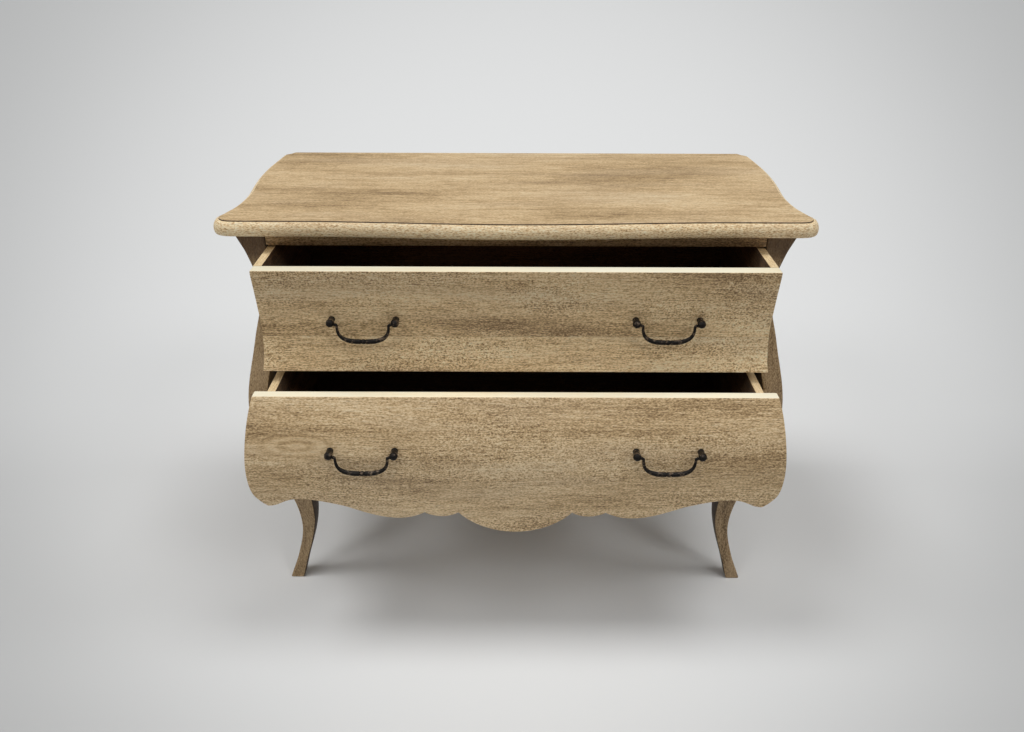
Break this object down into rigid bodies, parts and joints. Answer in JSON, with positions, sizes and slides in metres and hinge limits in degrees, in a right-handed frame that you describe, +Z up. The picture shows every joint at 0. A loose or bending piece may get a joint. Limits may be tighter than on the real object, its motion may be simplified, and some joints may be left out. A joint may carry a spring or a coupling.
{
  "type": "bombe chest of drawers",
  "caption": "Bombe chest with drawers partly open: bowed wooden top, swelling sawn fronts and sides, scalloped lower edge, cabriole legs and iron bail pulls.",
  "frame": {"origin": "on the floor, under the middle of the whole as it stands with its drawers partly open", "axes": "+Z up, the front faces -Y, +X to the right as one faces the front"},
  "size_m": [1.2122, 0.7668, 0.882],
  "materials": {
    "weathered_wood": "weathered, open-pored, matt",
    "top_wood": "weathered, open-pored, faint sheen",
    "raw_wood": "planed and unfinished",
    "dark_iron": "blackened, rubbed bright on the balls"
  },
  "bodies": {
    "case": {"top_front_rail": "weathered_wood", "middle_front_rail": "weathered_wood", "bottom_front_rail": "weathered_wood", "top_back_rail": "weathered_wood", "bottom_back_rail": "weathered_wood", "left_front_post": "weathered_wood", "right_front_post": "weathered_wood", "left_back_post": "weathered_wood", "right_back_post": "weathered_wood", "left_side_panel": "weathered_wood", "right_side_panel": "weathered_wood", "top_slab": "top_wood", "back_panel": "raw_wood", "left_kicker": "raw_wood", "right_kicker": "raw_wood", "left_front_corner_block": "raw_wood", "right_front_corner_block": "raw_wood", "left_back_corner_block": "raw_wood", "right_back_corner_block": "raw_wood", "left_upper_runner": "raw_wood", "right_upper_runner": "raw_wood", "left_upper_stop": "raw_wood", "right_upper_stop": "raw_wood", "left_lower_runner": "raw_wood", "right_lower_runner": "raw_wood", "left_lower_stop": "raw_wood", "right_lower_stop": "raw_wood"},
    "upper_drawer": {"upper_drawer_front": "weathered_wood", "upper_drawer_left_side": "raw_wood", "upper_drawer_right_side": "raw_wood", "upper_drawer_back": "raw_wood", "upper_drawer_bottom": "raw_wood", "upper_left_handle_left_post": "dark_iron", "upper_left_handle_left_screw": "dark_iron", "upper_left_handle_right_post": "dark_iron", "upper_left_handle_right_screw": "dark_iron", "upper_right_handle_left_post": "dark_iron", "upper_right_handle_left_screw": "dark_iron", "upper_right_handle_right_post": "dark_iron", "upper_right_handle_right_screw": "dark_iron"},
    "upper_left_bail": {"upper_left_bail": "dark_iron"},
    "upper_right_bail": {"upper_right_bail": "dark_iron"},
    "lower_drawer": {"lower_drawer_front": "weathered_wood", "lower_drawer_left_side": "raw_wood", "lower_drawer_right_side": "raw_wood", "lower_drawer_back": "raw_wood", "lower_drawer_bottom": "raw_wood", "lower_left_handle_left_post": "dark_iron", "lower_left_handle_left_screw": "dark_iron", "lower_left_handle_right_post": "dark_iron", "lower_left_handle_right_screw": "dark_iron", "lower_right_handle_left_post": "dark_iron", "lower_right_handle_left_screw": "dark_iron", "lower_right_handle_right_post": "dark_iron", "lower_right_handle_right_screw": "dark_iron"},
    "lower_left_bail": {"lower_left_bail": "dark_iron"},
    "lower_right_bail": {"lower_right_bail": "dark_iron"}
  },
  "joints": [
    {"name": "upper_drawer_slide", "type": "slide", "parent": "case", "child": "upper_drawer", "axis": [0, -1, 0], "range_m": [-0.132, 0.208]},
    {"name": "lower_drawer_slide", "type": "slide", "parent": "case", "child": "lower_drawer", "axis": [0, -1, 0], "range_m": [-0.184, 0.156]},
    {"name": "upper_left_bail_swing", "type": "hinge", "parent": "upper_drawer", "child": "upper_left_bail", "pos_m": [-0.297, -0.268, 0.7059], "axis": [-1, 0, 0], "range_deg": [-20, 160]},
    {"name": "upper_right_bail_swing", "type": "hinge", "parent": "upper_drawer", "child": "upper_right_bail", "pos_m": [0.297, -0.268, 0.7059], "axis": [-1, 0, 0], "range_deg": [-20, 160]},
    {"name": "lower_left_bail_swing", "type": "hinge", "parent": "lower_drawer", "child": "lower_left_bail", "pos_m": [-0.297, -0.375, 0.4746], "axis": [-1, 0, 0], "range_deg": [-12, 165]},
    {"name": "lower_right_bail_swing", "type": "hinge", "parent": "lower_drawer", "child": "lower_right_bail", "pos_m": [0.297, -0.375, 0.4746], "axis": [-1, 0, 0], "range_deg": [-12, 165]}
  ]
}
